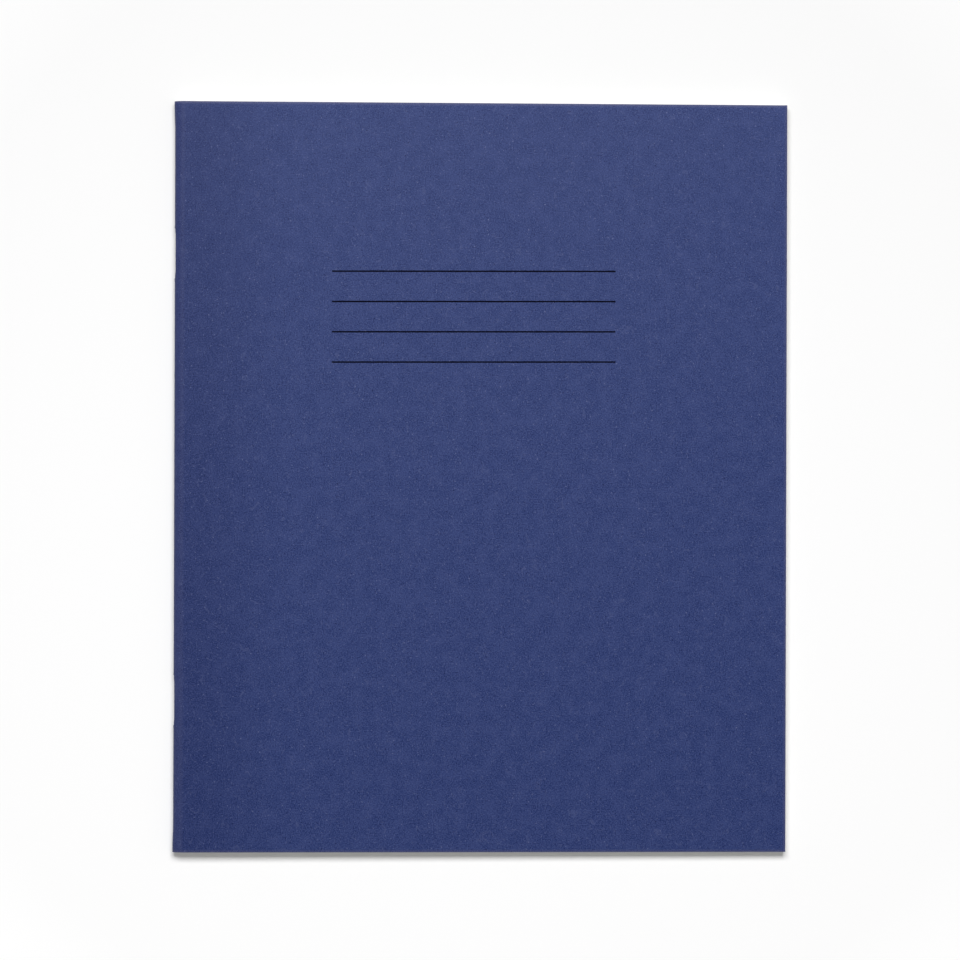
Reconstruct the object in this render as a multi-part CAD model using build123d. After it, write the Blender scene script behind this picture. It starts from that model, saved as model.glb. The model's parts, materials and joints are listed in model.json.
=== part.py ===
from build123d import *
import os
from math import asin, cos, degrees, radians, sin

# Trimmed size of the closed book, in millimetres
BOOK_WIDTH = 165.5          # spine to fore edge
BOOK_HEIGHT = 203.0         # tail to head
SHEET_COUNT = 12            # folded sheets, two leaves each
PAPER = 0.10                # thickness of a sheet
CARD = 0.28                 # thickness of the cover
SHEET_GAP = 0.01            # air between one sheet and the next
BEND_WIDTH = 11.5           # paper beside the staples that curves as the book opens

# Wire staples
WIRE = 0.50                 # diameter of the wire
CROWN_LENGTH = 11.5         # over both legs, along the spine
CLINCH_LENGTH = 4.2         # bent end of a leg, from the leg's middle line
INNER_BEND = 0.07           # radius inside each bend of the wire
HEAD_STAPLE_INSET = 41.0    # head edge to the middle of the upper staple
TAIL_STAPLE_INSET = 41.0    # tail edge to the middle of the lower staple
WIRE_CLEARANCE = 0.05       # room between the clinched wire and the innermost sheet
HOLE_CLEARANCE = 0.03       # room round a leg where it goes through the paper
CROWN_BED = 0.15            # depth of the dent that the crown presses into the card
CROWN_SEAT = 0.02           # room between the crown and the bottom of its dent

# The fold: every sheet bends round the clinched wire, one outside the other
FIRST_RADIUS = WIRE / 2 + WIRE_CLEARANCE
SHEET_PITCH = PAPER + SHEET_GAP
COVER_RADIUS = FIRST_RADIUS + SHEET_COUNT * SHEET_PITCH
SPINE_RADIUS = COVER_RADIUS + CARD
CROWN_PROUD = WIRE + CROWN_SEAT - CROWN_BED
CROWN_RADIUS = SPINE_RADIUS + CROWN_PROUD - WIRE / 2
GUTTER = CROWN_RADIUS + WIRE / 2 + BEND_WIDTH
LEG_HOLE = WIRE + 2 * HOLE_CLEARANCE

# Places: the origin is the middle of the underside, staples included
SPINE_X = (CROWN_PROUD - BOOK_WIDTH) / 2
FORE_X = SPINE_X + BOOK_WIDTH
AXIS_X = SPINE_X + SPINE_RADIUS
AXIS_Z = SPINE_RADIUS
REACH = FORE_X - AXIS_X
STAPLE_PLACES = (BOOK_HEIGHT / 2 - HEAD_STAPLE_INSET, TAIL_STAPLE_INSET - BOOK_HEIGHT / 2)

# The front half leans until its inner leaf meets the back half at the fore edge
LEAN = degrees(asin((2 * FIRST_RADIUS - SHEET_GAP) / REACH))
TOP_ANGLE = 90 - LEAN
BOTTOM_ANGLE = 270


def polar(radius, angle):
    """A point round the fold axis, in the plane across the spine."""
    return Vector(AXIS_X + radius * cos(radians(angle)), AXIS_Z + radius * sin(radians(angle)))


def across_spine(outline):
    """A profile drawn across the spine, drawn out along the book's whole height."""
    return extrude(Plane.XZ * make_face(outline), amount=BOOK_HEIGHT / 2, both=True)


def trim(sheet):
    """The guillotine cut at the fore edge."""
    waste_width = BOOK_WIDTH
    waste = Pos(FORE_X + waste_width / 2, 0, AXIS_Z) * Box(waste_width, 2 * BOOK_HEIGHT, BOOK_WIDTH)
    return sheet - waste


def half_sheet(radius, thickness, angle):
    """A flat leaf or cover board that leaves the fold at an angle and is cut at the fore edge."""
    side = 1 if angle == TOP_ANGLE else -1
    out = polar(1, angle - side * 90) - polar(0, angle)
    inside = polar(radius, angle)
    outside = polar(radius + thickness, angle)
    outline = Polyline(
        inside + out * GUTTER,
        inside + out * BOOK_WIDTH,
        outside + out * BOOK_WIDTH,
        outside + out * GUTTER,
        close=True,
    )
    return trim(across_spine(outline.edges()))


def leg_places():
    """The height along the spine of each staple leg."""
    half_span = (CROWN_LENGTH - WIRE) / 2
    return [middle + half for middle in STAPLE_PLACES for half in (-half_span, half_span)]


def bent_strip(radius, thickness):
    """The fold of one sheet: half a turn with a flat strip on each side, pierced for the staple legs."""
    middle_angle = (TOP_ANGLE + BOTTOM_ANGLE) / 2
    over = (polar(1, TOP_ANGLE - 90) - polar(0, TOP_ANGLE)) * GUTTER
    under = Vector(GUTTER, 0)
    outer = radius + thickness
    outline = [
        Line(polar(radius, TOP_ANGLE) + over, polar(outer, TOP_ANGLE) + over),
        Line(polar(outer, TOP_ANGLE) + over, polar(outer, TOP_ANGLE)),
        ThreePointArc(polar(outer, TOP_ANGLE), polar(outer, middle_angle), polar(outer, BOTTOM_ANGLE)),
        Line(polar(outer, BOTTOM_ANGLE), polar(outer, BOTTOM_ANGLE) + under),
        Line(polar(outer, BOTTOM_ANGLE) + under, polar(radius, BOTTOM_ANGLE) + under),
        Line(polar(radius, BOTTOM_ANGLE) + under, polar(radius, BOTTOM_ANGLE)),
        ThreePointArc(polar(radius, BOTTOM_ANGLE), polar(radius, middle_angle), polar(radius, TOP_ANGLE)),
        Line(polar(radius, TOP_ANGLE), polar(radius, TOP_ANGLE) + over),
    ]
    strip = across_spine(outline)
    for place in leg_places():
        strip -= Pos(AXIS_X - CROWN_RADIUS, place, AXIS_Z) * Box(2 * CROWN_RADIUS, LEG_HOLE, LEG_HOLE)
    return strip


def dented_spine():
    """The fold of the cover, with a dent under the crown of each staple."""
    spine = bent_strip(COVER_RADIUS, CARD)
    for middle in STAPLE_PLACES:
        dent = Box(2 * CROWN_BED, CROWN_LENGTH + 2 * HOLE_CLEARANCE, LEG_HOLE)
        spine -= Pos(SPINE_X, middle, AXIS_Z) * dent
    return spine


def staple(lower_leg, upper_leg):
    """One wire: crown behind the spine, legs through the fold, ends clinched along the fold axis."""
    crown_x = AXIS_X - CROWN_RADIUS
    path = FilletPolyline(
        (AXIS_X, lower_leg + CLINCH_LENGTH, AXIS_Z),
        (AXIS_X, lower_leg, AXIS_Z),
        (crown_x, lower_leg, AXIS_Z),
        (crown_x, upper_leg, AXIS_Z),
        (AXIS_X, upper_leg, AXIS_Z),
        (AXIS_X, upper_leg - CLINCH_LENGTH, AXIS_Z),
        radius=WIRE / 2 + INNER_BEND,
    )
    return sweep(Plane(path @ 0, z_dir=path % 0) * Circle(WIRE / 2), path=path)


def write(name, shape):
    shape.label = name
    export_step(shape, f"parts/{name}.step")


os.makedirs("parts", exist_ok=True)

# Cover
write("front_cover", half_sheet(COVER_RADIUS, CARD, TOP_ANGLE))
write("cover_spine", dented_spine())
write("back_cover", half_sheet(COVER_RADIUS, CARD, BOTTOM_ANGLE))

# Sheets, from the outermost to the one in the middle; leaves are counted from the front cover
for sheet in range(1, SHEET_COUNT + 1):
    sheet_radius = FIRST_RADIUS + (SHEET_COUNT - sheet) * SHEET_PITCH
    write(f"leaf_{sheet:02d}", half_sheet(sheet_radius, PAPER, TOP_ANGLE))
    write(f"sheet_fold_{sheet:02d}", bent_strip(sheet_radius, PAPER))
    write(f"leaf_{2 * SHEET_COUNT + 1 - sheet:02d}", half_sheet(sheet_radius, PAPER, BOTTOM_ANGLE))

# Staples
head_lower, head_upper, tail_lower, tail_upper = leg_places()
write("head_staple", staple(head_lower, head_upper))
write("tail_staple", staple(tail_lower, tail_upper))
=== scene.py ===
import json
import random
from math import asin, pi, radians

import bpy
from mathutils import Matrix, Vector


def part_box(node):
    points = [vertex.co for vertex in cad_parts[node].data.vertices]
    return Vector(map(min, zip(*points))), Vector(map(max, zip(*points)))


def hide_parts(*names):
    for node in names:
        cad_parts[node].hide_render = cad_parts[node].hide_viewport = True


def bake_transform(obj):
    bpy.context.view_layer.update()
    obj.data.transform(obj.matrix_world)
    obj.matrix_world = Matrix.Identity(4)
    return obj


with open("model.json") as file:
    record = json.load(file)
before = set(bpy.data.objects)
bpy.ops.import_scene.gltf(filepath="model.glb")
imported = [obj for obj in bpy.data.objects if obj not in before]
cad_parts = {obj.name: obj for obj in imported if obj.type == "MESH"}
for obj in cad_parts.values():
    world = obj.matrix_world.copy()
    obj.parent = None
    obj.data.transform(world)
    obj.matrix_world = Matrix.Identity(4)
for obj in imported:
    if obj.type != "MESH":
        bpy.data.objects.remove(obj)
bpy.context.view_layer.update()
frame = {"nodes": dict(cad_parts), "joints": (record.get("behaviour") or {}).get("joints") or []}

MM = 0.001                   # metres in a millimetre

# Sizes of the book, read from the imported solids

hinge = next(joint for joint in frame["joints"] if joint["name"] == "spine_hinge")
FOLD_X, _, FOLD_Z = hinge["pos_m"]

leaves = sorted(name for name in frame["nodes"] if name.startswith("leaf_"))
SHEET_COUNT = len(leaves) // 2

back_low, back_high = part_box("back_cover")
inner_low, inner_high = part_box(leaves[SHEET_COUNT])
_, next_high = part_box(leaves[SHEET_COUNT + 1])
BOOK_HEIGHT = back_high.y - back_low.y
REACH = back_high.x - FOLD_X                    # from the axis of the fold to the fore edge
CARD = back_high.z - back_low.z
PAPER = inner_high.z - inner_low.z
FIRST_RADIUS = FOLD_Z - inner_high.z            # inside of the fold of the middle sheet
SHEET_PITCH = inner_high.z - next_high.z
SHEET_GAP = SHEET_PITCH - PAPER
COVER_RADIUS = FOLD_Z - back_high.z
SPINE_RADIUS = COVER_RADIUS + CARD
BOOK_WIDTH = SPINE_RADIUS + REACH
LEAN = asin((2 * FIRST_RADIUS - SHEET_GAP) / REACH)     # slope of the front half, down to the fore edge

head_low, head_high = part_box("head_staple")
tail_low, tail_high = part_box("tail_staple")
HEAD_STAPLE = (head_low.y + head_high.y) / 2
TAIL_STAPLE = (tail_low.y + tail_high.y) / 2
HALF_CROWN = (head_high.y - head_low.y) / 2

# How the paper and card sit

FOLD_SWELL = 0.60 * MM       # the fold swells out where no staple holds it
CROWN_DENT = 0.15 * MM       # the crown is pressed into the card by this
DENT_FADE = 1.0 * MM         # from the end of the crown to the end of its groove
GROOVE_FLAT = 0.04           # bottom of the groove, as a share of the quarter turn of the fold
GROOVE_END = 0.26            # rim of the groove, in the same share
SHOULDER_SWELL = 0.18        # more swell beside the ends of the crown
SHOULDER_REACH = 2.2 * MM    # from the end of the crown to the end of the shoulder
SHOULDER_RISE = SHOULDER_REACH / 5              # from the end of the crown to the top of the shoulder
FLARE_SWELL = 0.33           # more swell at the head and tail, where the fold springs open
FLARE_LENGTH = 9.0 * MM
BEND_REACH = 5.0 * MM        # as the book opens, a sheet turns within this far of the fold
TRIM_SPREAD = 0.15 * MM      # leaves end up to this far short of the cover
LEAF_SEED = 41

# Steps across and along a half sheet

FOLD_STEPS = 20              # round the quarter turn of the fold
BEND_STEPS = 14              # where the sheet turns as the book opens
FLAT_STEPS = 18              # from there to the fore edge
STEPS_ACROSS = FOLD_STEPS + BEND_STEPS + FLAT_STEPS
FOLD_END = FOLD_STEPS / STEPS_ACROSS
BEND_END = (FOLD_STEPS + BEND_STEPS) / STEPS_ACROSS
COVER_ROWS = 220             # close enough for the grooves at the staples
LEAF_ROWS = 70
GRID_WIDTH = 1.0             # of the flat grid, before it is bent
FOLD_MARK = "fold_middle"    # name of the mark on points in the middle of the fold
JOIN_DISTANCE = MM / 1000    # points closer than this become one
SHARP_EDGE = radians(50)     # edges that turn by more than this stay crisp

# Printed lines: four for the title, and the ruling of the pages

TITLE_COUNT = 4
TITLE_PITCH = 8.2 * MM
TITLE_FIRST = 45.95 * MM     # from the head
TITLE_START = 41.9 * MM      # from the back of the spine
TITLE_END = 118.8 * MM
TITLE_WIDTH = 0.43 * MM
TITLE_SKEW = 0.0043          # the print is a quarter of a degree out of square with the trim
FEINT_FIRST = 27 * MM
FEINT_PITCH = 8 * MM
FEINT_COUNT = 21
FEINT_START = 0.0
FEINT_WIDTH = 0.22 * MM
MARGIN_INSET = 22 * MM       # from the left edge of the page
BEYOND_PAGE = 1.0            # further off than any edge of a page
INK_SOFTNESS = 0.03 * MM     # half the width of the soft edge of a line
HALF_STEP = 0.5              # half the way from one line to the next

# Colours, linear

CARD_BLUE = (0.0205, 0.0382, 0.1450, 1)
CARD_PALE = (0.0650, 0.0885, 0.2385, 1)
CARD_DEEP = (0.0022, 0.0065, 0.0575, 1)
CARD_FIBRE = (0.1200, 0.1400, 0.2800, 1)
# pale core of the card on its cut edges; also laid on the rim as rubbed wear and painted highlight, and
# along the fold
CARD_CORE_AND_HIGHLIGHT = (0.1050, 0.1080, 0.2000, 1)
TITLE_INK = (0.0003, 0.0005, 0.0050, 1)
PAPER_WHITE = (0.800, 0.790, 0.745, 1)
PAPER_SHADE = (0.760, 0.747, 0.695, 1)
PAPER_CUT = (0.700, 0.685, 0.630, 1)
FEINT_INK = (0.330, 0.455, 0.610, 1)
MARGIN_INK = (0.640, 0.215, 0.250, 1)
WIRE_BRIGHT = (0.620, 0.620, 0.600, 1)
WIRE_DULL = (0.330, 0.325, 0.310, 1)
WHITE = (1, 1, 1, 1)

# Pressed fibres: turns are in radians, and limits are levels of noise between which an effect sets in

NOISE_MIDDLE = (0.5, 0.5, 0.5)
FLECK_NOISE = {"Detail": 3.0, "Roughness": 0.72}
SPECK_NOISE = {"Detail": 1.0, "Roughness": 0.50}
CLOUD_NOISE = {"Detail": 3.0, "Roughness": 0.55}
FIBRE_NOISE = {"Detail": 1.0, "Roughness": 0.50}
SPECK_TURN = 1.3
CLOUD_TURN = 0.7
FIBRE_TURNS = (0.4, 1.9)               # long fibres run in two ways
FIBRE_SQUEEZE = (1.0, 7.0, 1.0)        # noise is pressed together across a fibre
FIBRE_LIMITS = (0.66, 0.76)            # only the crests of the noise are fibres
FIBRE_BEND = 2.0                       # from one bend to the next, in fibre sizes
FIBRE_WANDER = 3.0                     # how far a fibre strays, in fibre sizes
FLECK_HEIGHT = 0.7
CLOUD_HEIGHT = 0.3
FIBRE_HEIGHT = 0.25
HEIGHT_LIMITS = (0.2, 0.8)
CLOUD_LIMITS = (0.35, 0.70)

# Dyed card: painted shade darkens it beside the fold, it is paler along the back of the fold, and its rim is
# paler, partly from rubbed wear and partly a painted highlight

CARD_GRAIN = {
    "Fleck size": 0.34 * MM,
    "Speck size": 0.55 * MM,
    "Cloud size": 4.0 * MM,
    "Fibre size": 2.4 * MM,
    "Fibre amount": 0.5,
}
PALE_FLECK_LIMITS = (0.50, 0.76)
DEEP_FLECK_LIMITS = (0.50, 0.24)
PALE_SPECK_LIMITS = (0.73, 0.81)
PALE_SPECK_SHARE = 0.80
DARK_SPECK_LIMITS = (0.27, 0.19)
DARK_SPECK_SHARE = 0.95
CARD_CLOUD_SHARE = 0.16
CARD_FIBRE_SHARE = 0.35
# painted shade: the card is darkest at the fold and fades to its own colour this far out across the cover
FOLD_SHADE_START = 2 * MM
FOLD_SHADE_END = 34 * MM
FOLD_SHADE_SHARE = 0.26
# the card is paler along the back of the fold, out to this far
FOLD_PALE_START = 1.2 * MM
FOLD_PALE_END = 2.6 * MM
FOLD_PALE_SHARE = 0.15
CARD_RIM = 0.85 * MM         # width of the rounded rim, painted paler partly as rubbed wear and partly as a painted highlight
RIM_ROUNDING = 0.10 * MM
# paler rim: partly rubbed wear, partly a painted highlight
RUBBED_HIGHLIGHT_LIMITS = (0.25, 0.70)
RUBBED_HIGHLIGHT_SHARES = (0.25, 0.70)
CARD_CUT_SHARE = 0.65
CARD_ROUGHNESS = (0.42, 0.54)
CARD_GLOSS = 0.13
CARD_RELIEF = 0.030 * MM
INK_LIMITS = (0.85, 0.55)    # ink is thinner on the highest flecks
INK_SHARES = (0.90, 1.0)
INK_ROUGHNESS = 1.0          # the printed lines are duller than the card

# Writing paper

PAPER_GRAIN = {
    "Fleck size": 0.5 * MM,
    "Cloud size": 4.0 * MM,
    "Fibre size": 2.0 * MM,
    "Fibre amount": 0.35,
}
PAPER_FLECK_LIMITS = (0.45, 0.80)
PAPER_FLECK_SHARE = 0.4
PAPER_CLOUD_SHARE = 0.3
PAPER_FIBRE_SHARE = 0.5
FEINT_LIMITS = (0.3, 0.7)    # the ruling prints unevenly
FEINT_SHARES = (0.95, 0.70)
PAPER_RIM = 0.3 * MM
PAPER_RIM_SHARE = 0.5
PAPER_CUT_SHARE = 0.6
PAPER_ROUGHNESS = (0.78, 0.90)
PAPER_GLOSS = 0.25
PAPER_RELIEF = 0.008 * MM

# Staple wire

PATCH_SIZE = 0.9 * MM
PATCH_DETAIL = 3.0
DULL_LIMITS = (0.45, 0.72)
DULL_SHARE = 0.8
DULL_ROUGHNESS = 0.22        # dull patches are rougher by this
SCORE_SIZE = 0.06 * MM
SCORE_DETAIL = 2.0
SCORE_STRETCH = (1.0, 0.06, 1.0)       # scores run along the crown
SCORE_LIMITS = (0.3, 0.7)
SCORE_ROUGHNESS = (0.22, 0.38)
SCORE_DEPTH = 0.006 * MM

# Stage: places and lengths are in metres, lens and sensor in millimetres

FLOOR_SIZE = 6.0
FLOOR_DROP = 0.01 * MM       # keeps the floor clear of the back cover
FLOOR_TAIL = 0.985           # the floor is palest where less light falls, so it looks even
FLOOR_HEAD = 0.735
FLOOR_SPAN = 0.15
NEAR_GLOW = 0.08             # a glow that only the camera, gloss and glass see makes the open floor white
FAR_GLOW = 0.95
NEAR_RING = 0.16
FAR_RING = 0.90
SKY_LEVEL = 0.22
MIRRORED_LEVEL = 0.5         # how much of the white backdrop shows in gloss near the horizon
BACKDROP_LIMITS = (0.25, 0.65)         # it ends between these heights, where 1 is straight up
KEY_PLACE = (-0.03, 0.48, 0.95)
KEY_SIZE = (0.80, 0.40)
KEY_POWER = 11.8
CAMERA_PLACE = (-0.03783, -0.00288, 1.0)
CAMERA_TURN = (radians(0.1213), radians(-2.1504), radians(0.1676))
CAMERA_LENS = 138.0
CAMERA_NEAR = 0.01
SENSOR_WIDTH = 36.0

# Kinds of socket, and the places of the colours on a Mix node

NUMBER = "NodeSocketFloat"
WHOLE_NUMBER = "NodeSocketInt"
VECTOR = "NodeSocketVector"
MATERIAL = "NodeSocketMaterial"
GEOMETRY = "NodeSocketGeometry"
MIX_FIRST = 6
MIX_SECOND = 7
MIX_RESULT = 2


# Small helpers

def add_object(name, data):
    """A new object in the scene."""
    thing = bpy.data.objects.new(name, data)
    bpy.context.scene.collection.objects.link(thing)
    return thing


def empty_tree(owner):
    """The node tree of a material or world, with nothing in it yet."""
    owner.use_nodes = True
    owner.node_tree.nodes.clear()
    return owner.node_tree


def put(tree, kind, inputs=(), **settings):
    """Add one node, set its options, then fill its inputs with values or links."""
    node = tree.nodes.new(kind)
    for name, value in settings.items():
        setattr(node, name, value)
    for key, value in dict(inputs).items():
        socket = node.inputs[key]
        if isinstance(value, bpy.types.NodeSocket):
            tree.links.new(value, socket)
        else:
            socket.default_value = value
    return node


def maths(tree, operation, first, second=0.0, third=0.0):
    """One step of arithmetic."""
    inputs = {0: first, 1: second, 2: third}
    return put(tree, "ShaderNodeMath", inputs, operation=operation).outputs[0]


def vector(tree, x, y, z=0.0):
    """Three numbers as one vector."""
    return put(tree, "ShaderNodeCombineXYZ", {"X": x, "Y": y, "Z": z}).outputs[0]


def vector_maths(tree, operation, first, second):
    """One step of arithmetic on vectors."""
    return put(tree, "ShaderNodeVectorMath", {0: first, 1: second}, operation=operation).outputs[0]


def fade(tree, value, low, high, start=0.0, end=1.0, smooth=True):
    """A value taken from one range to another, held at both ends."""
    inputs = {"Value": value, "From Min": low, "From Max": high, "To Min": start, "To Max": end}
    kind = "SMOOTHSTEP" if smooth else "LINEAR"
    return put(tree, "ShaderNodeMapRange", inputs, interpolation_type=kind, clamp=True).outputs["Result"]


def layer_colours(tree, colour, layers):
    """A colour with others laid over it in turn, each by its own share."""
    for share, top in layers:
        inputs = {"Factor": share, MIX_FIRST: colour, MIX_SECOND: top}
        mix = put(tree, "ShaderNodeMix", inputs, data_type="RGBA", clamp_factor=True)
        colour = mix.outputs[MIX_RESULT]
    return colour


def new_group(name, kind, inputs, outputs):
    """A node group with named sockets; each input has a kind and a starting value."""
    tree = bpy.data.node_groups.new(name, kind)
    for label, socket_kind, value in inputs:
        socket = tree.interface.new_socket(label, in_out="INPUT", socket_type=socket_kind)
        if value is not None:
            socket.default_value = value
    for label, socket_kind in outputs:
        tree.interface.new_socket(label, in_out="OUTPUT", socket_type=socket_kind)
    return tree, tree.nodes.new("NodeGroupInput").outputs, tree.nodes.new("NodeGroupOutput").inputs


def place_group(tree, group, inputs):
    """A shared effect placed in a material with its own values."""
    return put(tree, "ShaderNodeGroup", inputs, node_tree=group).outputs


# Half of a folded sheet, from the middle of its fold to the fore edge

def point_place(tree):
    """The x, y and z of each point."""
    place = put(tree, "GeometryNodeInputPosition").outputs[0]
    return put(tree, "ShaderNodeSeparateXYZ", {0: place}).outputs


def mark(tree, sheet, name, value, kind, domain, selection=True):
    """A sheet with a value kept on it under a name."""
    inputs = {"Geometry": sheet, "Selection": selection, "Name": name, "Value": value}
    return put(tree, "GeometryNodeStoreNamedAttribute", inputs, data_type=kind, domain=domain).outputs[0]


def turn_and_reach(tree, given, across):
    """The share of the fold's quarter turn done at a point, and how far out it is on the flat."""
    share = fade(tree, across, 0.0, FOLD_END, smooth=False)
    near = fade(tree, across, FOLD_END, BEND_END, 0.0, BEND_REACH, smooth=False)
    beyond = maths(tree, "SUBTRACT", given["Reach"], BEND_REACH)
    far = fade(tree, across, BEND_END, 1.0, 0.0, beyond, smooth=False)
    return share, maths(tree, "ADD", near, far)


def looseness(tree, given, along, nearest):
    """Swell of the fold as a multiple: more beside each crown, and at the head and tail."""
    crest = HALF_CROWN + SHOULDER_RISE
    rise = fade(tree, nearest, HALF_CROWN - SHOULDER_RISE, crest)
    fall = fade(tree, nearest, crest, HALF_CROWN + SHOULDER_REACH, 1.0, 0.0)
    shoulder = maths(tree, "MULTIPLY", rise, fall)
    half_height = maths(tree, "MULTIPLY", given["Height"], 0.5)
    flare_start = maths(tree, "SUBTRACT", half_height, FLARE_LENGTH)
    flare = fade(tree, maths(tree, "ABSOLUTE", along), flare_start, half_height)
    loose = maths(tree, "MULTIPLY_ADD", shoulder, SHOULDER_SWELL, 1.0)
    return maths(tree, "MULTIPLY_ADD", flare, FLARE_SWELL, loose)


def outward_push(tree, given, along, share):
    """How far the fold stands out: it swells where it is free and has a groove under each crown."""
    to_head = maths(tree, "ABSOLUTE", maths(tree, "SUBTRACT", along, HEAD_STAPLE))
    to_tail = maths(tree, "ABSOLUTE", maths(tree, "SUBTRACT", along, TAIL_STAPLE))
    nearest = maths(tree, "MINIMUM", to_head, to_tail)
    under_crown = fade(tree, nearest, HALF_CROWN, HALF_CROWN + DENT_FADE, 1.0, 0.0)
    in_groove = fade(tree, share, GROOVE_FLAT, GROOVE_END, 1.0, 0.0)
    groove = maths(tree, "MULTIPLY", under_crown, in_groove)
    swell = maths(tree, "MULTIPLY", looseness(tree, given, along, nearest), given["Swell"])
    swollen = maths(tree, "MULTIPLY", swell, maths(tree, "SUBTRACT", 1.0, groove))
    return maths(tree, "SUBTRACT", swollen, maths(tree, "MULTIPLY", groove, given["Dent"]))


def bent_place(tree, given, along, share, flat, sweep):
    """Where a point of the lower face goes: round the fold, then out along the flat."""
    # the lower face is the inner one in the front half and the outer one in the back half
    on_outside = maths(tree, "MULTIPLY", maths(tree, "SUBTRACT", 1.0, given["Side"]), 0.5)
    radius = maths(tree, "MULTIPLY_ADD", on_outside, given["Thickness"], given["Fold radius"])
    turned = maths(tree, "MULTIPLY", maths(tree, "MULTIPLY", share, sweep), given["Side"])
    angle = maths(tree, "SUBTRACT", pi, turned)
    ahead = maths(tree, "COSINE", angle)
    above = maths(tree, "SINE", angle)
    fold_share = maths(tree, "MAXIMUM", maths(tree, "MULTIPLY", ahead, -1.0), 0.0)
    pushed = maths(tree, "MULTIPLY", outward_push(tree, given, along, share), fold_share)
    x = maths(tree, "MULTIPLY_ADD", radius, ahead, FOLD_X)
    x = maths(tree, "MULTIPLY_ADD", flat, maths(tree, "COSINE", given["Lean"]), x)
    x = maths(tree, "SUBTRACT", x, pushed)
    z = maths(tree, "MULTIPLY_ADD", radius, above, FOLD_Z)
    z = maths(tree, "SUBTRACT", z, maths(tree, "MULTIPLY", flat, maths(tree, "SINE", given["Lean"])))
    return vector(tree, x, along, z)


def page_map(tree, given, along, share, flat, sweep):
    """The pattern map: distance from the back of the spine and height on the page, in metres."""
    left_to_turn = maths(tree, "MULTIPLY", maths(tree, "SUBTRACT", 1.0, share), sweep)
    outside = maths(tree, "ADD", given["Fold radius"], given["Thickness"])
    outside = maths(tree, "ADD", outside, given["Swell"])
    from_spine = maths(tree, "SUBTRACT", flat, maths(tree, "MULTIPLY", left_to_turn, outside))
    return vector(tree, maths(tree, "ADD", from_spine, SPINE_RADIUS), along)


def thick_sheet(tree, base, thickness):
    """A sheet with its thickness, and marks on its upper page and its cut edges."""
    inputs = {"Mesh": base, "Offset Scale": thickness, "Individual": False}
    raised = put(tree, "GeometryNodeExtrudeMesh", inputs, mode="FACES").outputs
    upper = mark(tree, raised["Mesh"], "recto", 1.0, "FLOAT", "FACE", raised["Top"])
    edged = mark(tree, upper, "cut", 1.0, "FLOAT", "FACE", raised["Side"])
    under = put(tree, "GeometryNodeFlipFaces", {"Mesh": base}).outputs[0]
    joined = put(tree, "GeometryNodeJoinGeometry")
    tree.links.new(edged, joined.inputs[0])
    tree.links.new(under, joined.inputs[0])
    return joined.outputs[0]


def level_fold(tree, sheet):
    """A closed sheet whose end is level, so that both halves meet in one plane at the middle of the fold."""
    place = point_place(tree)
    level = vector(tree, place["X"], place["Y"], FOLD_Z)
    middle = put(tree, "GeometryNodeInputNamedAttribute", {"Name": FOLD_MARK}, data_type="FLOAT").outputs[0]
    inputs = {"Geometry": sheet, "Selection": middle, "Position": level}
    levelled = put(tree, "GeometryNodeSetPosition", inputs).outputs[0]
    inputs = {"Geometry": levelled, "Distance": JOIN_DISTANCE}
    closed = put(tree, "GeometryNodeMergeByDistance", inputs).outputs[0]
    return put(tree, "GeometryNodeRemoveAttribute", {"Geometry": closed, "Name": FOLD_MARK}).outputs[0]


def half_sheet_tree():
    """The rule that every half sheet follows."""
    tree, given, result = new_group("Half of a folded sheet", "GeometryNodeTree", [
        ("Fold radius", NUMBER, FIRST_RADIUS),
        ("Thickness", NUMBER, PAPER),
        ("Side", NUMBER, 1.0),
        ("Lean", NUMBER, 0.0),
        ("Reach", NUMBER, REACH),
        ("Height", NUMBER, BOOK_HEIGHT),
        ("Swell", NUMBER, 0.0),
        ("Dent", NUMBER, 0.0),
        ("Rows", WHOLE_NUMBER, LEAF_ROWS),
        ("Finish", MATERIAL, None),
    ], [("Sheet", GEOMETRY)])
    grid = put(tree, "GeometryNodeMeshGrid", {
        "Size X": GRID_WIDTH,
        "Size Y": given["Height"],
        "Vertices X": STEPS_ACROSS + 1,
        "Vertices Y": maths(tree, "ADD", given["Rows"], 1.0),
    }).outputs["Mesh"]
    place = point_place(tree)
    across = maths(tree, "ADD", place["X"], GRID_WIDTH / 2)
    along = place["Y"]
    share, flat = turn_and_reach(tree, given, across)
    sweep = maths(tree, "ADD", given["Lean"], pi / 2)
    in_middle = maths(tree, "LESS_THAN", across, FOLD_END / FOLD_STEPS / 2)
    marked = mark(tree, grid, FOLD_MARK, in_middle, "FLOAT", "POINT")
    pattern = page_map(tree, given, along, share, flat, sweep)
    mapped = mark(tree, marked, "UVMap", pattern, "FLOAT2", "CORNER")
    inputs = {"Geometry": mapped, "Position": bent_place(tree, given, along, share, flat, sweep)}
    bent = put(tree, "GeometryNodeSetPosition", inputs).outputs[0]
    closed = level_fold(tree, thick_sheet(tree, bent, given["Thickness"]))
    real = put(tree, "GeometryNodeRealizeInstances", {"Geometry": closed}).outputs[0]
    finished = put(tree, "GeometryNodeSetMaterial", {"Geometry": real, "Material": given["Finish"]})
    tree.links.new(finished.outputs[0], result["Sheet"])
    return tree


HALF_SHEET = half_sheet_tree()


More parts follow.
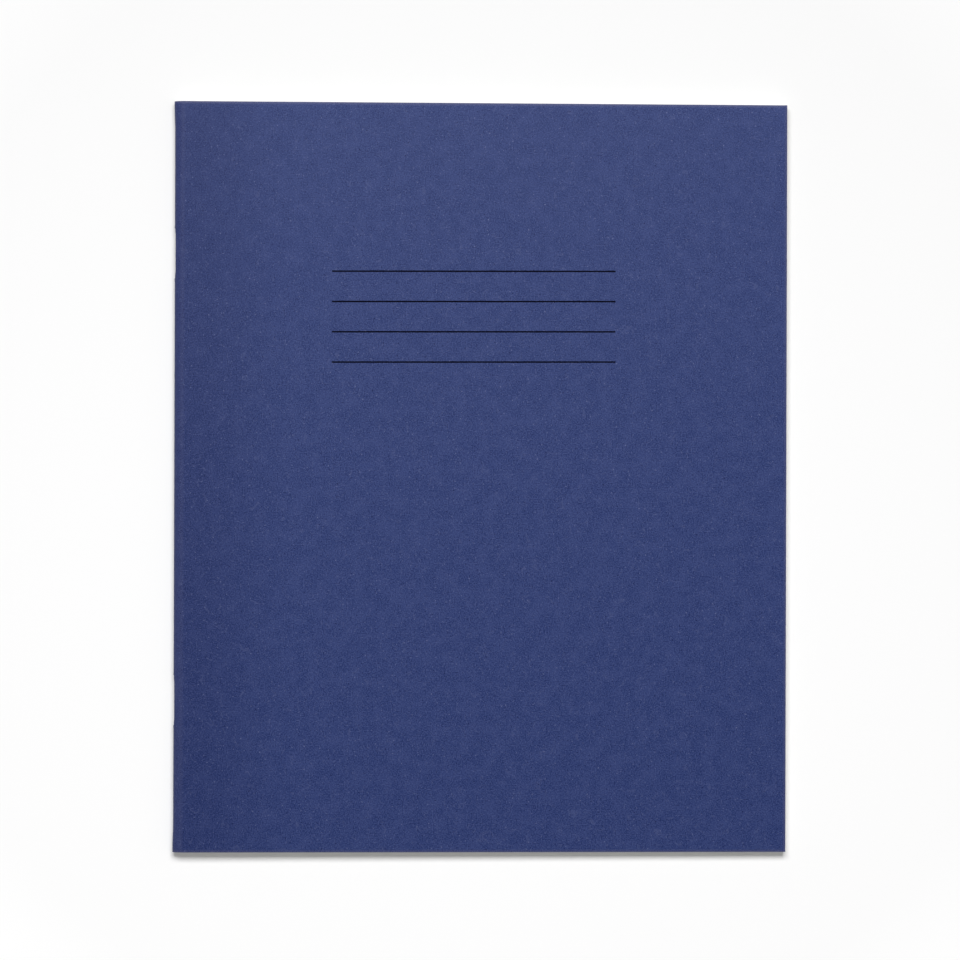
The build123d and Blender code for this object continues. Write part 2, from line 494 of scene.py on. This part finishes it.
def half_sheet_mesh(name, values):
    """The rule's result for these values, as a plain mesh."""
    holder = add_object(name + "_rule", bpy.data.meshes.new(name + "_rule"))
    rule = holder.modifiers.new("Half sheet", "NODES")
    rule.node_group = HALF_SHEET
    for item in HALF_SHEET.interface.items_tree:
        if item.in_out == "INPUT" and item.name in values:
            rule[item.identifier] = values[item.name]
    evaluated = holder.evaluated_get(bpy.context.evaluated_depsgraph_get())
    mesh = bpy.data.meshes.new_from_object(evaluated)
    holder.modifiers.remove(rule)
    bpy.data.objects.remove(holder)
    mesh.name = name
    mesh.shade_smooth()
    mesh.set_sharp_from_angle(angle=SHARP_EDGE)
    return mesh


def half_sheet(name, nodes, values):
    """One half of a sheet, made by the rule, with the named solids hidden."""
    piece = add_object(name, half_sheet_mesh(name, values))
    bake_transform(piece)
    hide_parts(*nodes)


# Shared effects of the finishes

def turned_place(tree, place, turn):
    """A place on the page, with the pattern turned."""
    return put(tree, "ShaderNodeMapping", {"Vector": place, "Rotation": (0, 0, turn)}).outputs[0]


def flat_noise(tree, place, size, grain):
    """Noise over a page, with spots of about this size, as a number and as a colour."""
    inputs = {"Vector": place, "Scale": maths(tree, "DIVIDE", 1.0, size), **grain}
    return put(tree, "ShaderNodeTexNoise", inputs, noise_dimensions="2D").outputs


def long_fibres(tree, place, size):
    """Bent bands of stretched noise, kept only at their thin crests."""
    bend_size = maths(tree, "MULTIPLY", size, FIBRE_BEND)
    bend = flat_noise(tree, place, bend_size, FIBRE_NOISE)[1]
    drift = vector_maths(tree, "SUBTRACT", bend, NOISE_MIDDLE)
    inputs = {0: drift, "Scale": maths(tree, "MULTIPLY", size, FIBRE_WANDER)}
    wander = put(tree, "ShaderNodeVectorMath", inputs, operation="SCALE").outputs[0]
    wandered = vector_maths(tree, "ADD", place, wander)
    crests = []
    for turn in FIBRE_TURNS:
        squeezed = vector_maths(tree, "MULTIPLY", turned_place(tree, wandered, turn), FIBRE_SQUEEZE)
        strand = flat_noise(tree, squeezed, size, FIBRE_NOISE)[0]
        crests.append(fade(tree, strand, *FIBRE_LIMITS))
    return maths(tree, "MAXIMUM", *crests)


def fibre_group():
    """Mottle of pressed fibres: fine flecks, specks, soft clouds, and a few long fibres."""
    tree, given, result = new_group("Pressed fibres", "ShaderNodeTree", [
        ("Place", VECTOR, None),
        *((label, NUMBER, value) for label, value in CARD_GRAIN.items()),
    ], [("Fleck", NUMBER), ("Speck", NUMBER), ("Cloud", NUMBER), ("Fibre", NUMBER), ("Height", NUMBER)])
    place = given["Place"]
    fleck = flat_noise(tree, place, given["Fleck size"], FLECK_NOISE)[0]
    speck = flat_noise(tree, turned_place(tree, place, SPECK_TURN), given["Speck size"], SPECK_NOISE)[0]
    cloud = flat_noise(tree, turned_place(tree, place, CLOUD_TURN), given["Cloud size"], CLOUD_NOISE)[0]
    fibre = maths(tree, "MULTIPLY", long_fibres(tree, place, given["Fibre size"]), given["Fibre amount"])
    height = maths(tree, "MULTIPLY_ADD", fleck, FLECK_HEIGHT, maths(tree, "MULTIPLY", cloud, CLOUD_HEIGHT))
    height = maths(tree, "MULTIPLY_ADD", fibre, FIBRE_HEIGHT, height)
    found = {"Fleck": fleck, "Speck": speck, "Cloud": cloud, "Fibre": fibre, "Height": height}
    for label, socket in found.items():
        tree.links.new(socket, result[label])
    return tree


def ruling_group():
    """Straight printed lines, a set number at one pitch, between two ends."""
    tree, given, result = new_group("Ruled lines", "ShaderNodeTree", [
        ("Down", NUMBER, 0.0),
        ("Across", NUMBER, 0.0),
        ("First", NUMBER, TITLE_FIRST),
        ("Pitch", NUMBER, TITLE_PITCH),
        ("Count", NUMBER, TITLE_COUNT),
        ("Start", NUMBER, TITLE_START),
        ("End", NUMBER, TITLE_END),
        ("Width", NUMBER, TITLE_WIDTH),
        ("Softness", NUMBER, INK_SOFTNESS),
    ], [("Ink", NUMBER)])
    step = maths(tree, "DIVIDE", maths(tree, "SUBTRACT", given["Down"], given["First"]), given["Pitch"])
    line = maths(tree, "ROUND", step)
    off = maths(tree, "ABSOLUTE", maths(tree, "SUBTRACT", step, line))
    off = maths(tree, "MULTIPLY", off, given["Pitch"])
    half_width = maths(tree, "MULTIPLY", given["Width"], 0.5)
    full_ink = maths(tree, "SUBTRACT", half_width, given["Softness"])
    no_ink = maths(tree, "ADD", half_width, given["Softness"])
    stroke = fade(tree, off, full_ink, no_ink, 1.0, 0.0)
    from_first = maths(tree, "GREATER_THAN", line, -HALF_STEP)
    to_last = maths(tree, "LESS_THAN", line, maths(tree, "SUBTRACT", given["Count"], HALF_STEP))
    begun = maths(tree, "GREATER_THAN", given["Across"], given["Start"])
    not_ended = maths(tree, "LESS_THAN", given["Across"], given["End"])
    ink = maths(tree, "MULTIPLY", stroke, maths(tree, "MULTIPLY", from_first, to_last))
    ink = maths(tree, "MULTIPLY", ink, maths(tree, "MULTIPLY", begun, not_ended))
    tree.links.new(ink, result["Ink"])
    return tree


def trim_group():
    """Nearness to the three cut edges of a page or cover, from 0 inside to 1 at the cut."""
    tree, given, result = new_group("Trimmed edge", "ShaderNodeTree", [
        ("Across", NUMBER, 0.0),
        ("Down", NUMBER, 0.0),
        ("Page width", NUMBER, BOOK_WIDTH),
        ("Page height", NUMBER, BOOK_HEIGHT),
        ("Band", NUMBER, CARD_RIM),
    ], [("Nearness", NUMBER)])
    to_fore = maths(tree, "SUBTRACT", given["Page width"], given["Across"])
    to_tail = maths(tree, "SUBTRACT", given["Page height"], given["Down"])
    to_ends = maths(tree, "MINIMUM", given["Down"], to_tail)
    nearest = maths(tree, "MINIMUM", to_ends, to_fore)
    tree.links.new(fade(tree, nearest, 0.0, given["Band"], 1.0, 0.0, smooth=False), result["Nearness"])
    return tree


FIBRES = fibre_group()
RULING = ruling_group()
TRIM = trim_group()


# Finishes

def new_material(name):
    """A material with one plain shader."""
    material = bpy.data.materials.new(name)
    tree = empty_tree(material)
    shader = put(tree, "ShaderNodeBsdfPrincipled")
    put(tree, "ShaderNodeOutputMaterial", {"Surface": shader.outputs[0]})
    return material, tree, shader


def finish_surface(tree, shader, colour, roughness, relief):
    """Link what changes over a surface; its relief is in metres."""
    tree.links.new(colour, shader.inputs["Base Color"])
    tree.links.new(roughness, shader.inputs["Roughness"])
    bump = put(tree, "ShaderNodeBump", {"Strength": 1.0, "Distance": 1.0, "Height": relief})
    tree.links.new(bump.outputs[0], shader.inputs["Normal"])


def page_places(tree):
    """Where a point is on its page: the pattern map, distance from the spine, distance below the head."""
    place = put(tree, "ShaderNodeUVMap", uv_map="UVMap").outputs[0]
    split = put(tree, "ShaderNodeSeparateXYZ", {0: place})
    down = maths(tree, "SUBTRACT", BOOK_HEIGHT / 2, split.outputs["Y"])
    return place, split.outputs["X"], down


def attribute(tree, name):
    """A mark that the half sheet rule left on the mesh."""
    return put(tree, "ShaderNodeAttribute", attribute_name=name, attribute_type="GEOMETRY").outputs["Fac"]


def dyed_colour(tree, fibres, across):
    """Colour of the card away from its cut edges, with painted shade beside the fold."""
    return layer_colours(tree, CARD_BLUE, [
        (fade(tree, fibres["Fleck"], *PALE_FLECK_LIMITS, smooth=False), CARD_PALE),
        (fade(tree, fibres["Fleck"], *DEEP_FLECK_LIMITS, smooth=False), CARD_DEEP),
        (fade(tree, fibres["Cloud"], *CLOUD_LIMITS, 0.0, CARD_CLOUD_SHARE), CARD_PALE),
        # painted shade beside the fold
        (fade(tree, across, FOLD_SHADE_START, FOLD_SHADE_END, FOLD_SHADE_SHARE, 0.0), CARD_DEEP),
        # paler along the back of the fold
        (fade(tree, across, FOLD_PALE_START, FOLD_PALE_END, FOLD_PALE_SHARE, 0.0), CARD_CORE_AND_HIGHLIGHT),
        (maths(tree, "MULTIPLY", fibres["Fibre"], CARD_FIBRE_SHARE), CARD_FIBRE),
        (fade(tree, fibres["Speck"], *PALE_SPECK_LIMITS, 0.0, PALE_SPECK_SHARE), CARD_FIBRE),
        (fade(tree, fibres["Speck"], *DARK_SPECK_LIMITS, 0.0, DARK_SPECK_SHARE), CARD_DEEP),
    ])


def title_ink(tree, fibres, across, down):
    """Mask of the four title lines, on the upper face only."""
    lines = place_group(tree, RULING, {
        "Down": maths(tree, "MULTIPLY_ADD", across, TITLE_SKEW, down),
        "Across": across,
        "First": TITLE_FIRST,
        "Pitch": TITLE_PITCH,
        "Count": TITLE_COUNT,
        "Start": TITLE_START,
        "End": TITLE_END,
        "Width": TITLE_WIDTH,
    })
    ink = maths(tree, "MULTIPLY", lines["Ink"], attribute(tree, "recto"))
    return maths(tree, "MULTIPLY", ink, fade(tree, fibres["Fleck"], *INK_LIMITS, *INK_SHARES))


def card_material(name, printed):
    """Dyed card with a rounded rim painted paler, partly rubbed wear and partly a painted highlight, and the
    title lines on the front cover.
    """
    material, tree, shader = new_material(name)
    place, across, down = page_places(tree)
    fibres = place_group(tree, FIBRES, {"Place": place, **CARD_GRAIN})
    rim = place_group(tree, TRIM, {"Across": across, "Down": down, "Band": CARD_RIM})["Nearness"]
    # the paler rim is partly rubbed wear and partly a painted highlight, standing in for the rounded edge
    # catching the light
    rubbed_highlight = fade(tree, fibres["Fleck"], *RUBBED_HIGHLIGHT_LIMITS, *RUBBED_HIGHLIGHT_SHARES)
    colour = layer_colours(tree, dyed_colour(tree, fibres, across), [
        (maths(tree, "MULTIPLY", rim, rubbed_highlight), CARD_CORE_AND_HIGHLIGHT),
        (maths(tree, "MULTIPLY", attribute(tree, "cut"), CARD_CUT_SHARE), CARD_CORE_AND_HIGHLIGHT),
    ])
    roughness = fade(tree, fibres["Height"], *HEIGHT_LIMITS, *CARD_ROUGHNESS, smooth=False)
    if printed:
        ink = title_ink(tree, fibres, across, down)
        colour = layer_colours(tree, colour, [(ink, TITLE_INK)])
        roughness = fade(tree, ink, 0.0, 1.0, roughness, INK_ROUGHNESS, smooth=False)
    rounding = maths(tree, "MULTIPLY", maths(tree, "POWER", rim, 2.0), -RIM_ROUNDING)
    relief = maths(tree, "MULTIPLY_ADD", fibres["Height"], CARD_RELIEF, rounding)
    finish_surface(tree, shader, colour, roughness, relief)
    shader.inputs["Specular IOR Level"].default_value = CARD_GLOSS
    return material


def feint_ink(tree, across, down):
    """Mask of the lines across a page."""
    return place_group(tree, RULING, {
        "Down": down,
        "Across": across,
        "First": FEINT_FIRST,
        "Pitch": FEINT_PITCH,
        "Count": FEINT_COUNT,
        "Start": FEINT_START,
        "End": BEYOND_PAGE,
        "Width": FEINT_WIDTH,
    })["Ink"]


def margin_ink(tree, across, down):
    """Mask of the margin, near the fold on a right hand page and near the fore edge on a left hand page."""
    recto = attribute(tree, "recto")
    on_left_page = BOOK_WIDTH - MARGIN_INSET
    return place_group(tree, RULING, {
        "Down": across,
        "Across": down,
        "First": maths(tree, "MULTIPLY_ADD", recto, MARGIN_INSET - on_left_page, on_left_page),
        "Pitch": BOOK_WIDTH,
        "Count": 1,
        "Start": -BEYOND_PAGE,
        "End": BEYOND_PAGE,
        "Width": FEINT_WIDTH,
    })["Ink"]


def leaf_material(name):
    """Writing paper, ruled on both pages."""
    material, tree, shader = new_material(name)
    place, across, down = page_places(tree)
    fibres = place_group(tree, FIBRES, {"Place": place, **PAPER_GRAIN})
    rim = place_group(tree, TRIM, {"Across": across, "Down": down, "Band": PAPER_RIM})["Nearness"]
    cut = attribute(tree, "cut")
    flecks = fade(tree, fibres["Fleck"], *PAPER_FLECK_LIMITS, 0.0, PAPER_FLECK_SHARE)
    clouds = fade(tree, fibres["Cloud"], *CLOUD_LIMITS)
    uneven = fade(tree, fibres["Fleck"], *FEINT_LIMITS, *FEINT_SHARES)
    page = maths(tree, "MULTIPLY", maths(tree, "SUBTRACT", 1.0, cut), uneven)
    worn = maths(tree, "MAXIMUM", cut, maths(tree, "MULTIPLY", rim, PAPER_RIM_SHARE))
    colour = layer_colours(tree, PAPER_WHITE, [
        (maths(tree, "MULTIPLY_ADD", clouds, PAPER_CLOUD_SHARE, flecks), PAPER_SHADE),
        (maths(tree, "MULTIPLY", fibres["Fibre"], PAPER_FIBRE_SHARE), PAPER_SHADE),
        (maths(tree, "MULTIPLY", feint_ink(tree, across, down), page), FEINT_INK),
        (maths(tree, "MULTIPLY", margin_ink(tree, across, down), page), MARGIN_INK),
        (maths(tree, "MULTIPLY", worn, PAPER_CUT_SHARE), PAPER_CUT),
    ])
    roughness = fade(tree, fibres["Height"], *HEIGHT_LIMITS, *PAPER_ROUGHNESS, smooth=False)
    relief = maths(tree, "MULTIPLY", fibres["Height"], PAPER_RELIEF)
    finish_surface(tree, shader, colour, roughness, relief)
    shader.inputs["Specular IOR Level"].default_value = PAPER_GLOSS
    return material


def wire_material(name):
    """Drawn steel wire, zinc coated, dulled in patches and scored along its length."""
    material, tree, shader = new_material(name)
    place = put(tree, "ShaderNodeTexCoord").outputs["Object"]
    inputs = {"Vector": place, "Scale": 1 / PATCH_SIZE, "Detail": PATCH_DETAIL}
    patches = put(tree, "ShaderNodeTexNoise", inputs).outputs[0]
    along = vector_maths(tree, "MULTIPLY", place, SCORE_STRETCH)
    inputs = {"Vector": along, "Scale": 1 / SCORE_SIZE, "Detail": SCORE_DETAIL}
    scores = put(tree, "ShaderNodeTexNoise", inputs).outputs[0]
    dull = fade(tree, patches, *DULL_LIMITS, 0.0, DULL_SHARE)
    colour = layer_colours(tree, WIRE_BRIGHT, [(dull, WIRE_DULL)])
    scored = fade(tree, scores, *SCORE_LIMITS, *SCORE_ROUGHNESS)
    roughness = maths(tree, "MULTIPLY_ADD", dull, DULL_ROUGHNESS, scored)
    finish_surface(tree, shader, colour, roughness, maths(tree, "MULTIPLY", scores, SCORE_DEPTH))
    shader.inputs["Metallic"].default_value = 1.0
    return material


FRONT_CARD = card_material("cover_card_with_title_lines", True)
PLAIN_CARD = card_material("cover_card", False)
LEAF_PAPER = leaf_material("ruled_leaf_paper")
STAPLE_WIRE = wire_material("staple_wire")


# Pieces of the book

FRONT_HALF = {"Side": 1.0, "Lean": LEAN}
BACK_HALF = {"Side": -1.0, "Lean": 0.0}


def make_cover():
    """One folded card; its front half takes the place of the spine's solid too."""
    sizes = {
        "Fold radius": COVER_RADIUS,
        "Thickness": CARD,
        "Reach": REACH,
        "Rows": COVER_ROWS,
        "Swell": FOLD_SWELL,
        "Dent": CROWN_DENT,
    }
    half_sheet("front_cover_card", ("front_cover", "cover_spine"),
               {**FRONT_HALF, **sizes, "Finish": FRONT_CARD})
    half_sheet("back_cover_card", ("back_cover",),
               {**BACK_HALF, **sizes, "Finish": PLAIN_CARD})


def make_sheet(sheet, trims):
    """One folded sheet, counted from the outermost: a leaf in the front half and one in the back half."""
    radius = FIRST_RADIUS + (SHEET_COUNT - 1 - sheet) * SHEET_PITCH
    share = radius / COVER_RADIUS
    sizes = {
        "Fold radius": radius,
        "Thickness": PAPER,
        "Rows": LEAF_ROWS,
        "Swell": FOLD_SWELL * share,
        "Dent": CROWN_DENT * share,
        "Finish": LEAF_PAPER,
    }
    front = leaves[sheet]
    back = leaves[-1 - sheet]
    fold = front.replace("leaf", "sheet_fold")
    for leaf, nodes, half in ((front, (front, fold), FRONT_HALF), (back, (back,), BACK_HALF)):
        reach = REACH - TRIM_SPREAD * trims.random()
        half_sheet(leaf + "_paper", nodes, {**half, **sizes, "Reach": reach})


def finish_staple(name):
    """A staple keeps its solid and takes a better finish."""
    wire = frame["nodes"][name]
    wire.data.materials.clear()
    wire.data.materials.append(STAPLE_WIRE)


make_cover()
leaf_trims = random.Random(LEAF_SEED)
for sheet in range(SHEET_COUNT):
    make_sheet(sheet, leaf_trims)
finish_staple("head_staple")
finish_staple("tail_staple")


# Floor, light and camera

def ray_masks(tree):
    """One mask for rays from the camera, and one for what shows in gloss or glass."""
    rays = put(tree, "ShaderNodeLightPath").outputs
    mirrored = maths(tree, "MAXIMUM", rays["Is Glossy Ray"], rays["Is Transmission Ray"])
    return rays["Is Camera Ray"], mirrored


def floor_material():
    """Matt white, with a glow that grows away from the book."""
    material = bpy.data.materials.new("floor")
    tree = empty_tree(material)
    place = put(tree, "ShaderNodeTexCoord").outputs["Object"]
    split = put(tree, "ShaderNodeSeparateXYZ", {0: place})
    pale = fade(tree, split.outputs["Y"], -FLOOR_SPAN, FLOOR_SPAN, FLOOR_TAIL, FLOOR_HEAD, smooth=False)
    grey = put(tree, "ShaderNodeCombineColor", {0: pale, 1: pale, 2: pale})
    plain = put(tree, "ShaderNodeBsdfDiffuse", {"Color": grey.outputs[0]})
    away = put(tree, "ShaderNodeVectorMath", {0: place}, operation="LENGTH").outputs["Value"]
    level = fade(tree, away, NEAR_RING, FAR_RING, NEAR_GLOW, FAR_GLOW, smooth=False)
    seen = maths(tree, "MAXIMUM", *ray_masks(tree))
    strength = maths(tree, "MULTIPLY", seen, level)
    glow = put(tree, "ShaderNodeEmission", {"Color": WHITE, "Strength": strength})
    both = put(tree, "ShaderNodeAddShader", {0: plain.outputs[0], 1: glow.outputs[0]})
    put(tree, "ShaderNodeOutputMaterial", {"Surface": both.outputs[0]})
    return material


def make_floor():
    """A plain square under the book."""
    half = FLOOR_SIZE / 2
    mesh = bpy.data.meshes.new("floor")
    corners = [(-half, -half, 0), (half, -half, 0), (half, half, 0), (-half, half, 0)]
    mesh.from_pydata(corners, [], [(0, 1, 2, 3)])
    mesh.materials.append(floor_material())
    floor = add_object("floor", mesh)
    floor.location.z = -FLOOR_DROP


def make_sky():
    """Even light from all round, and a white backdrop for the camera and for gloss near the horizon."""
    world = bpy.data.worlds.new("studio")
    bpy.context.scene.world = world
    tree = empty_tree(world)
    way = put(tree, "ShaderNodeTexCoord").outputs["Generated"]
    height = put(tree, "ShaderNodeSeparateXYZ", {0: way}).outputs["Z"]
    backdrop = fade(tree, height, *BACKDROP_LIMITS, MIRRORED_LEVEL, 0.0)
    camera_rays, mirrored = ray_masks(tree)
    seen = maths(tree, "MAXIMUM", camera_rays, maths(tree, "MULTIPLY", mirrored, backdrop))
    level = fade(tree, seen, 0.0, 1.0, SKY_LEVEL, 1.0, smooth=False)
    sky = put(tree, "ShaderNodeBackground", {"Color": WHITE, "Strength": level})
    put(tree, "ShaderNodeOutputWorld", {"Surface": sky.outputs[0]})


def make_key_light():
    """A wide soft lamp beyond the head, turned to the book."""
    key = bpy.data.lights.new("key", "AREA")
    key.shape = "RECTANGLE"
    key.size, key.size_y = KEY_SIZE
    key.energy = KEY_POWER
    lamp = add_object("key", key)
    lamp.location = KEY_PLACE
    lamp.rotation_euler = (-lamp.location).to_track_quat("-Z", "Y").to_euler()


def make_camera():
    """The photograph's view, from almost straight above."""
    view = bpy.data.cameras.new("camera")
    view.sensor_width = SENSOR_WIDTH
    view.lens = CAMERA_LENS
    view.clip_start = CAMERA_NEAR
    camera = add_object("camera", view)
    camera.location = CAMERA_PLACE
    camera.rotation_euler = CAMERA_TURN
    bpy.context.scene.camera = camera


make_floor()
make_sky()
make_key_light()
make_camera()
bpy.context.scene.view_settings.view_transform = "Standard"
